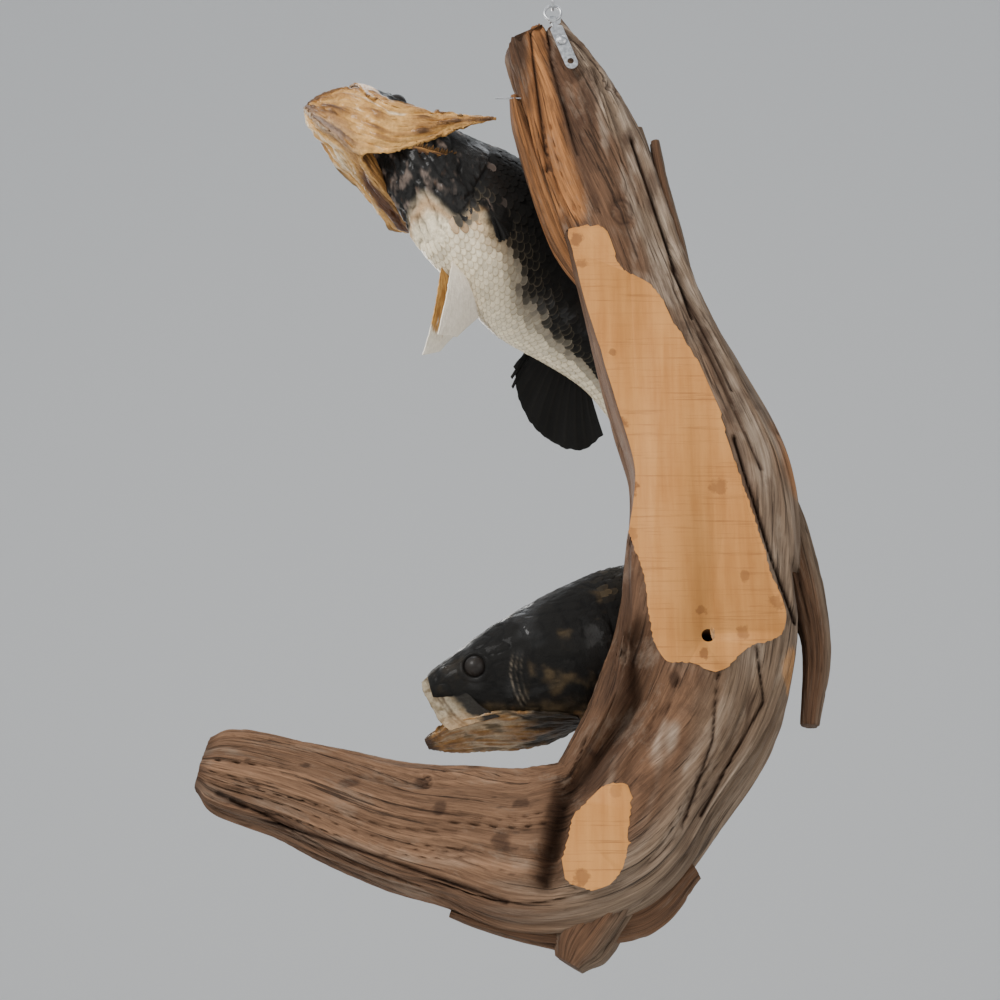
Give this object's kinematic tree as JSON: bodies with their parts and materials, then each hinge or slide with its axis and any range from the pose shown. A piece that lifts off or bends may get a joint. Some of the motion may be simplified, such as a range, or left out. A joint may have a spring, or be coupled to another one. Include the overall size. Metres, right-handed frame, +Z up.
{
  "type": "mounted trophy fish",
  "caption": "Hanging driftwood wall display of dried largemouth bass, mouths open, with strap hanger, chain and ceiling plate.",
  "frame": {"origin": "centre of the ceiling plate's top face, where the chain hangs", "axes": "+Z up; +Y from the sawn back of the wood towards the display side where the fish are fixed; +X to the right seen from the sawn side"},
  "size_m": [0.4905, 0.4188, 0.8917],
  "materials": {
    "wood": "weathered driftwood, grey-brown with a fresh sawn orange-tan back",
    "peg": "plain dowel",
    "fish_dark": "dried and varnished fish skin, near black, glossy",
    "fish_flank": "dried scaled skin, dark above and cream below",
    "dried_jaw": "dried translucent tan skin over jaw and gill plates",
    "pale_fin": "papery cream fin membrane",
    "eye": "dark glossy taxidermy eye",
    "steel": "galvanised steel"
  },
  "bodies": {
    "root": {"driftwood": "wood", "first_peg": "peg", "second_peg": "peg", "second_fish": "fish_dark", "hanger_strap": "steel", "hanger_screw": "steel", "ceiling_plate": "steel", "chain_link_1": "steel", "chain_link_2": "steel", "chain_link_3": "steel", "chain_link_4": "steel", "first_head": "fish_dark", "first_trunk": "fish_flank", "first_tail": "fish_flank", "first_eye_left": "eye", "first_eye_right": "eye", "first_lower_jaw": "dried_jaw", "first_dorsal_spiny": "fish_dark", "first_dorsal_soft": "fish_dark", "first_anal": "fish_dark", "first_caudal": "fish_dark", "first_gill_cover_left": "dried_jaw", "first_gill_cover_right": "dried_jaw", "first_pectoral_left": "fish_dark", "first_pectoral_right": "fish_dark", "first_pelvic_left": "pale_fin", "first_pelvic_right": "pale_fin"}
  },
  "joints": []
}
